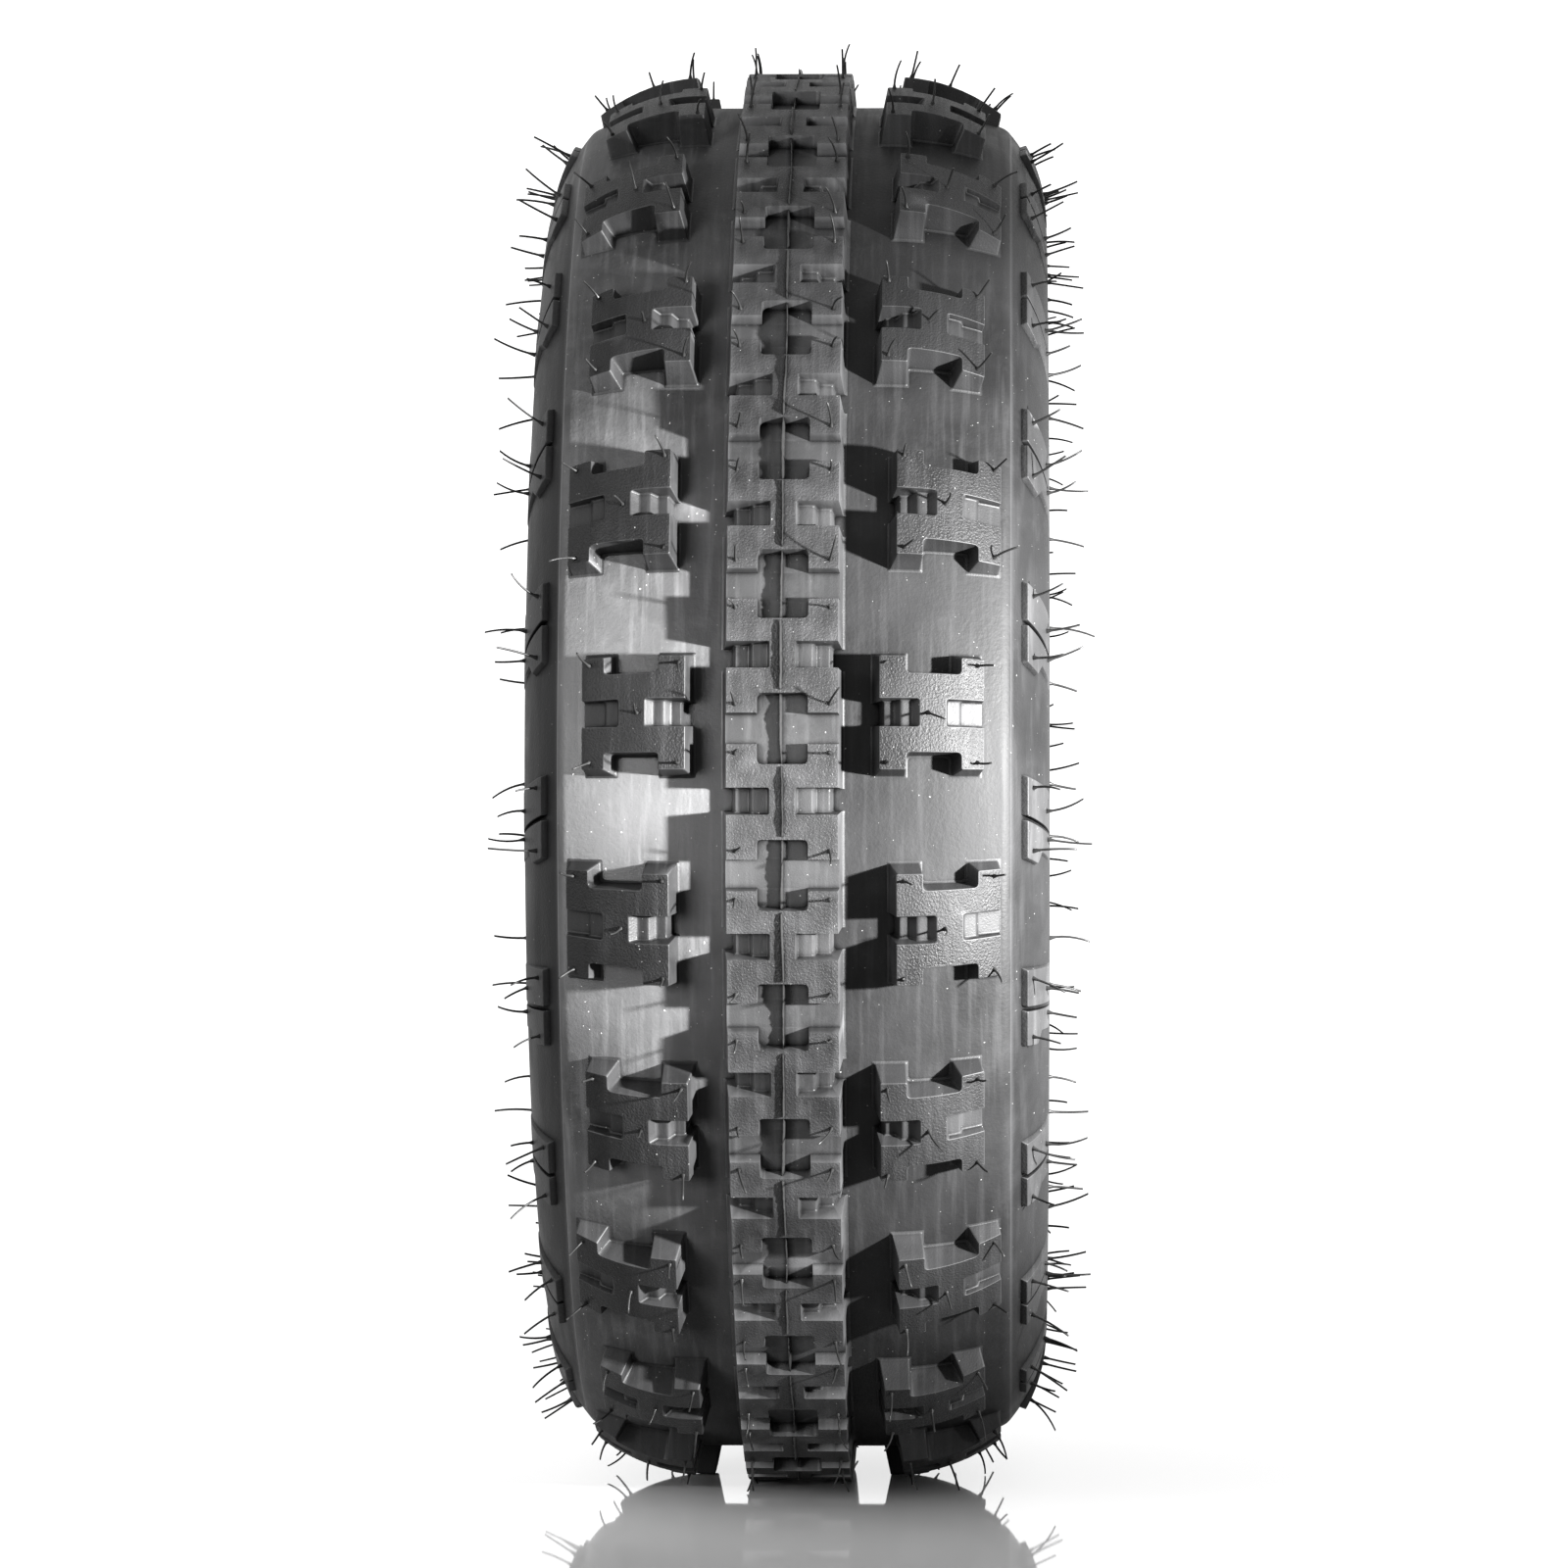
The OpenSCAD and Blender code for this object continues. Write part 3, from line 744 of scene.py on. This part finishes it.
def knobs():
    """Both rows on both sides, the left ones mirrored."""
    shape = knob_shape()
    for a0, start, row in ((NEAR_A, NEAR_START, "near"), (FAR_A, FAR_START, "far")):

        def bend(p):
            a = a0 + p.x
            lean = KNOB_LEAN * knob_slope(a)
            down = -p.z / TREAD_DEPTH * knob_depth(a)
            return p.y, a - down * math.sin(lean), knob_r(a) - down * math.cos(lean)

        turns = [math.radians(start + 360 / KNOBS * 2 * i) for i in range(KNOBS // 2)]
        for side in ("left", "right"):
            verts, faces, tops = copies(shape, bend, turns, side == "left")
            piece = finish_mesh(row + "_blocks_" + side, verts, faces, tread_rubber,
                "tread_rubber", [row + "_knobs_" + side], tops=tops, top=grained_top)
            weigh_normals(piece)


# ---------------------------------------------------------------- sidewall lugs

# Half a lug's length round the tyre, its length down the sidewall and the step in one end.
LUG_HALF_L = 14.2
LUG_W = 27.5
LUG_STEP = 5.0
# Where the slot that splits the lug begins and ends, and how far the walls lean.
SLOT_FROM = -0.7
SLOT_TO = 1.1
LUG_DRAFT = 0.6
SLOT_DRAFT = 0.2
LUG_CORNER = 0.6
# How much of its height a lug has lost at its lower end.
LUG_THINNING = 0.88


def lugs():
    """Low lugs that lean, thin out towards the widest line and have a narrow leaning slot."""
    l, w, step = LUG_HALF_L, LUG_W, LUG_HALF_L - LUG_STEP
    d, sd = LUG_DRAFT, SLOT_DRAFT
    before_slot = [(0, -l, -d, -d), (w, -l, d, -d), (w, SLOT_FROM, d, sd), (0, SLOT_FROM, -d, sd)]
    after_slot = [(0, SLOT_TO, -d, -sd), (w, SLOT_TO, d, -sd), (w, step, d, d),
        (w * 0.45, step, d, d), (w * 0.3, l, d, d), (0, l, -d, d)]
    shapes = []
    for half in (before_slot, after_slot):
        levels = [(height, rounded(grown(half, part, 0.0), LUG_CORNER))
            for height, part in ((-SUNK, 1.3), (0.0, 1.0), (LUG_H, 0.0))]
        shapes.append(carve(scratch("lug", *loft(levels)), [], bevel=0.35, grid=3.0))

    def bend(p):
        slope = LUG_SLOPE + math.degrees(p.x / SIDE_ARC)
        part = min(max(p.x / w, 0.0), 1.0)
        rise = p.z * (1 - LUG_THINNING * part) if p.z > 0 else p.z
        at = side_c + (SIDE_ARC + rise) * normal(slope)
        return (p.y + LUG_LEAN * p.x) * TREAD_R / at.y, at.x, at.y

    turns = [math.radians(LUG_START + 360 / KNOBS * i) for i in range(KNOBS)]
    for side, name in SIDES:
        verts, faces = [], []
        for shape in shapes:
            more_verts, more_faces, _ = copies(shape, bend, turns, side < 0)
            faces += [tuple(len(verts) + k for k in f) for f in more_faces]
            verts += more_verts
        piece = finish_mesh("lug_blocks_" + name, verts, faces, lug_rubber,
            "sidewall_rubber", ["sidewall_lugs_" + name])
        weigh_normals(piece)


# ---------------------------------------------------------------- flash and hairs

# The parting line's fin. Its height wanders between two limits, and tears come and go on it.
FLASH_STEPS = RIB_PITCHES * 64
FLASH_LOW = 0.8
FLASH_HIGH = 1.7
FLASH_HALF_FOOT = 0.24
FLASH_HALF_TIP = 0.12
# The fin starts under a recess's floor within this distance of its middle, or under the top.
FLASH_RECESS_HALF_L = 13.2
FLASH_UNDER_FLOOR = 0.3
FLASH_UNDER_TOP = 0.6
# Its height above that: a fixed part, and the share of the wandering one.
FLASH_RECESS_RISE = 1.6
FLASH_RECESS_SHARE = 1.7
FLASH_TOP_RISE = 0.7
FLASH_LEAST = 0.4

# Hairs: the stem's radius, the cone at its root and how much thinner the tip is.
HAIR_R = 0.44
HAIR_ROOT_SWELL = 0.45
HAIR_ROOT_L = 1.2
HAIR_TAPER = 0.08
HAIR_RINGS = 7
HAIR_CORNERS = 6
RIB_HAIR_L = 10
KNOB_HAIR_L = 9.5
SIDE_HAIR_L = 13
# On the rib, hairs stand at both ends of each land, at this distance from the centre plane.
RIB_HAIR_A = 16.3
RIB_HAIR_V = 8.5
# On a knob: (distance from its inner side, distance round the tyre from its middle).
KNOB_HAIRS = ((2.4, -17.4), (2.4, 17.4), (33.6, -17.4), (33.6, 17.4), (16.8, 0))
# On a sidewall, for each lug: (slope on the section, distance round the tyre, height there).
SIDE_HAIRS = ((60, -10, 2), (60, 12, 2), (74, -1, 1), (76, 9, 1), (94, -9, 0), (97, 10, 0))
# Nothing on a hair is nearer the floor than this, and shorter ones than this are left out.
HAIR_CLEAR = 0.5
HAIR_SHORTEST = 1.2
HAIR_SHARP = 80
# How far hairs tilt, how their lengths differ and how much they bow.
HAIR_TILT_ROUND = 0.25
HAIR_TILT_ACROSS = 0.15
HAIR_LENGTHS = (0.65, 1.25)
HAIR_BOWS = (0.05, 0.35)
HAIR_SUNK = 0.2


def flash_heights():
    """How tall the fin is at each step, and how deep it is torn there."""
    rng = random.Random(5)
    level, tear = 1.2, 0.0
    heights = []
    for _ in range(FLASH_STEPS):
        level = min(max(level + rng.uniform(-0.15, 0.15), FLASH_LOW), FLASH_HIGH)
        tear = tear * 0.85 + rng.uniform(-0.2, 0.2)
        heights.append((level, tear))
    return heights


def flash():
    """The ragged fin along the parting line: taller in the recesses, torn off here and there."""
    verts, faces = [], []
    pitch = 360 / RIB_PITCHES
    for i, (level, tear) in enumerate(flash_heights()):
        t = 2 * math.pi * i / FLASH_STEPS
        along = (math.degrees(t) - RIB_RECESS_START) % pitch
        across = min(along, pitch - along)
        rise = max(level + tear, FLASH_LEAST)
        if math.radians(across) * TREAD_R < FLASH_RECESS_HALF_L:
            foot = TREAD_R - RECESS - FLASH_UNDER_FLOOR
            top = foot + (FLASH_RECESS_RISE + FLASH_RECESS_SHARE * rise)
        else:
            foot = TREAD_R - FLASH_UNDER_TOP
            top = foot + (FLASH_TOP_RISE + rise)
        wander = 0.25 * math.sin(7 * t) + 0.15 * math.sin(31 * t)
        lean = 0.3 * math.sin(19 * t + 1) - 0.4 + tear * 0.4
        verts += [place(t, wander - FLASH_HALF_FOOT, foot),
            place(t, wander + FLASH_HALF_FOOT, foot),
            place(t, wander + lean + FLASH_HALF_TIP, top),
            place(t, wander + lean - FLASH_HALF_TIP, top)]
        here, after = 4 * i, 4 * ((i + 1) % FLASH_STEPS)
        for k in range(4):
            m = (k + 1) % 4
            faces.append((here + k, here + m, after + m, after + k))
    finish_mesh("flash_fin", verts, faces, trim_rubber, "trim_rubber", ["parting_flash"])


def add_hair(verts, faces, root, along, length, side_way, bow):
    """One tapered hair: a cone at its root, then a thin stem that bows sideways."""
    rings, corners = HAIR_RINGS, HAIR_CORNERS
    up = along.normalized()
    side_way = (side_way - up * side_way.dot(up)).normalized()
    other = up.cross(side_way)
    start = len(verts)
    for i in range(rings):
        s = i / (rings - 1)
        centre = root + (up * s + side_way * bow * s * s) * length
        swell = HAIR_ROOT_SWELL * max(0.0, 1 - s * length / HAIR_ROOT_L)
        radius = HAIR_R + swell - HAIR_TAPER * s
        for k in range(corners):
            t = 2 * math.pi * k / corners
            verts.append((centre + (side_way * math.cos(t) + other * math.sin(t)) * radius) * MM)
    for i in range(rings - 1):
        for k in range(corners):
            m = (k + 1) % corners
            a, b = start + i * corners, start + (i + 1) * corners
            faces.append((a + k, a + m, b + m, b + k))
    faces.append(tuple(start + k for k in reversed(range(corners))))
    faces.append(tuple(start + (rings - 1) * corners + k for k in range(corners)))


def hair_at(verts, faces, t, a, r, slope, length, rng, side):
    """A hair at angle t, rooted at (a, r), along a slope in radians, clear of the floor."""
    out = Vector((math.cos(t), 0, -math.sin(t)))
    along_axle = Vector((0, side, 0))
    round_tyre = Vector((-math.sin(t), 0, -math.cos(t)))
    root = out * (r - HAIR_SUNK) + along_axle * a
    up = out * math.cos(slope) + along_axle * math.sin(slope)
    up = up + round_tyre * rng.uniform(-HAIR_TILT_ROUND, HAIR_TILT_ROUND)
    up = up + along_axle * rng.uniform(-HAIR_TILT_ACROSS, HAIR_TILT_ACROSS)
    length *= rng.uniform(*HAIR_LENGTHS)
    bow_way = round_tyre * rng.uniform(-1, 1) + along_axle * rng.uniform(-1, 1)
    bow = rng.uniform(*HAIR_BOWS)
    low = root.z + min(0.0, up.normalized().z) * length
    if low < -GROUND_R + HAIR_CLEAR:
        room = max(0.0, root.z + GROUND_R - HAIR_CLEAR)
        length = room / max(1e-6, -up.normalized().z)
    if length > HAIR_SHORTEST:
        add_hair(verts, faces, root, up, length, bow_way, bow)


def rib_hairs():
    rng = random.Random(11)
    verts, faces = [], []
    for i in range(RIB_PITCHES):
        for side in (-1, 1):
            for end in (-RIB_HAIR_V, RIB_HAIR_V):
                t = math.radians(RIB_RECESS_START) + 2 * math.pi * i / RIB_PITCHES + end / TREAD_R
                hair_at(verts, faces, t, RIB_HAIR_A, TREAD_R, 0, RIB_HAIR_L, rng, side)
    finish_mesh("rib_whiskers", verts, faces, trim_rubber, "trim_rubber", ["rib_hairs"],
        HAIR_SHARP)


def knob_hairs(side, name):
    rng = random.Random(21 + side)
    verts, faces = [], []
    for i in range(KNOBS):
        near = i % 2 == 0
        start = NEAR_START + i * 360 / KNOBS if near else FAR_START + (i - 1) * 360 / KNOBS
        for u, v in KNOB_HAIRS:
            a = (NEAR_A if near else FAR_A) + u
            hair_at(verts, faces, math.radians(start) + v / TREAD_R, a, knob_r(a),
                knob_slope(a), KNOB_HAIR_L, rng, side)
    finish_mesh("knob_whiskers_" + name, verts, faces, trim_rubber, "trim_rubber",
        ["knob_hairs_" + name], HAIR_SHARP)


def side_hairs(side, name):
    rng = random.Random(31 + side)
    verts, faces = [], []
    for i in range(KNOBS):
        start = math.radians(LUG_START + i * 360 / KNOBS)
        for slope, v, raised in SIDE_HAIRS:
            if slope < 90:
                at = side_c + (SIDE_ARC + raised) * normal(slope)
            else:
                at = lower_c + LOWER_ARC * normal(slope)
            hair_at(verts, faces, start + v / at.y, at.x, at.y, math.radians(slope),
                SIDE_HAIR_L, rng, side)
    finish_mesh("side_whiskers_" + name, verts, faces, trim_rubber, "trim_rubber",
        ["side_hairs_" + name], HAIR_SHARP)


# ---------------------------------------------------------------- nodes carried over

def dress(node, material):
    carried = frame["nodes"][node]
    carried.data.materials.clear()
    carried.data.materials.append(material)


def dress_inside():
    """Materials for what the visual model takes from the frame as it is."""
    dress("inner_liner", liner_rubber)
    dress("body_ply_inner", ply_cord)
    dress("body_ply_outer", ply_cord)
    for side, name in SIDES:
        dress("chafer_" + name, side_rubber)
        dress("bead_filler_" + name, core_rubber)
        dress("bead_rubber_" + name, core_rubber)
        dress("bead_wires_" + name, bead_wire)


# ---------------------------------------------------------------- floor, light, camera

# Places and sizes are metres here, powers are watts and angles degrees.
FLOOR_REACH = 30.0
FLOOR_COLOUR = (0.56, 0.56, 0.56, 1)
FLOOR_ROUGHNESS = 0.03
WORLD_STRENGTH = 1.12

# The key and the kicker share a place, to the right of the tyre and ahead of it.
KEY_AT = (0.86, 0.94, 0.01)
KEY_TARGET = (0.24, 0.02, -0.01)
KEY_POWER = 720
KEY_CONE = 28
KICKER_TARGET = (0.24, -0.05, 0.02)
KICKER_POWER = 1900
KICKER_CONE = 20
LAMP_RADIUS = 0.03

LEFT_FILL_AT = (1.6, -2.2, 0.5)
LEFT_FILL_SIZE = 1.2
LEFT_FILL_POWER = 50
FRONT_FILL_AT = (2.0, -1.2, 0.1)
FRONT_FILL_SIZE = 0.8
FRONT_FILL_POWER = 200
RIB_FILL_POWER = 105

LENS_MM = 162.9
SENSOR_MM = 36
CAMERA_AZIMUTH = 1.73
CAMERA_DISTANCE = 2.705
CAMERA_LEFT = 0.0073
CAMERA_DOWN = 0.0027


def lamp(name, kind, position, target, power):
    data = bpy.data.lights.new(name, kind)
    data.energy = power
    light = bpy.data.objects.new(name, data)
    light.location = position
    light.rotation_euler = (Vector(target) - Vector(position)).to_track_quat("-Z", "Y").to_euler()
    bpy.context.collection.objects.link(light)
    return light


def spot(name, target, power, cone):
    """A hard lamp at the key's place, brightest along its axis."""
    light = lamp(name, "SPOT", KEY_AT, target, power)
    light.data.shadow_soft_size = LAMP_RADIUS
    light.data.spot_size = math.radians(cone)
    light.data.spot_blend = 1.0
    return light


def softbox(name, position, size, power):
    """A square soft lamp aimed at the middle of the wheel."""
    light = lamp(name, "AREA", position, (0, 0, 0), power)
    light.data.shape = "RECTANGLE"
    light.data.size = size
    light.data.size_y = size
    return light


def floor():
    bottom = -GROUND_R * MM
    mesh = bpy.data.meshes.new("floor")
    far = FLOOR_REACH
    mesh.from_pydata([(-far, -far, bottom), (far, -far, bottom), (far, far, bottom),
        (-far, far, bottom)], [], [(0, 1, 2, 3)])
    piece = bpy.data.objects.new("floor", mesh)
    bpy.context.collection.objects.link(piece)
    material, nodes, links, shader = new_material("floor_white")
    shader.inputs["Base Color"].default_value = FLOOR_COLOUR
    shader.inputs["Roughness"].default_value = FLOOR_ROUGHNESS
    mesh.materials.append(material)


def lit_only(light, piece):
    """Keeps a lamp to one piece."""
    pieces = bpy.data.collections.new(light.name + "_piece")
    pieces.objects.link(bpy.data.objects[piece])
    light.light_linking.receiver_collection = pieces


def studio():
    """A white tent, a hard key from the right, and more of it on the tyre's left half."""
    floor()
    world = bpy.data.worlds.new("world")
    bpy.context.scene.world = world
    world.use_nodes = True
    background = world.node_tree.nodes["Background"]
    background.inputs["Color"].default_value = (1, 1, 1, 1)
    background.inputs["Strength"].default_value = WORLD_STRENGTH
    bpy.context.scene.view_settings.view_transform = "Standard"
    bpy.context.scene.view_settings.look = "Medium High Contrast"
    spot("key", KEY_TARGET, KEY_POWER, KEY_CONE)
    kicker = spot("kicker", KICKER_TARGET, KICKER_POWER, KICKER_CONE)
    softbox("left_fill", LEFT_FILL_AT, LEFT_FILL_SIZE, LEFT_FILL_POWER)
    front_fill = softbox("front_fill", FRONT_FILL_AT, FRONT_FILL_SIZE, FRONT_FILL_POWER)
    rib_fill = softbox("rib_fill", FRONT_FILL_AT, FRONT_FILL_SIZE, RIB_FILL_POWER)
    lit_only(kicker, "tread_skin_left")
    lit_only(front_fill, "tread_skin_left")
    lit_only(rib_fill, "rib_blocks")


def camera():
    """Nearly square to the tread, on a long lens, a little left of and below the centre."""
    data = bpy.data.cameras.new("camera")
    data.sensor_width = SENSOR_MM
    data.lens = LENS_MM
    data.dof.use_dof = False
    cam = bpy.data.objects.new("camera", data)
    yaw = math.radians(CAMERA_AZIMUTH)
    back = Vector((math.cos(yaw), math.sin(yaw), 0))
    right = Vector((-math.sin(yaw), math.cos(yaw), 0))
    cam.location = back * CAMERA_DISTANCE - right * CAMERA_LEFT - Vector((0, 0, CAMERA_DOWN))
    cam.rotation_euler = (-back).to_track_quat("-Z", "Y").to_euler()
    bpy.context.collection.objects.link(cam)
    bpy.context.scene.camera = cam


for side, name in SIDES:
    tread_skin(side, name)
    sidewall_skin(side, name)
centre_rib()
knobs()
lugs()
flash()
rib_hairs()
for side, name in SIDES:
    knob_hairs(side, name)
    side_hairs(side, name)
dress_inside()
studio()
camera()
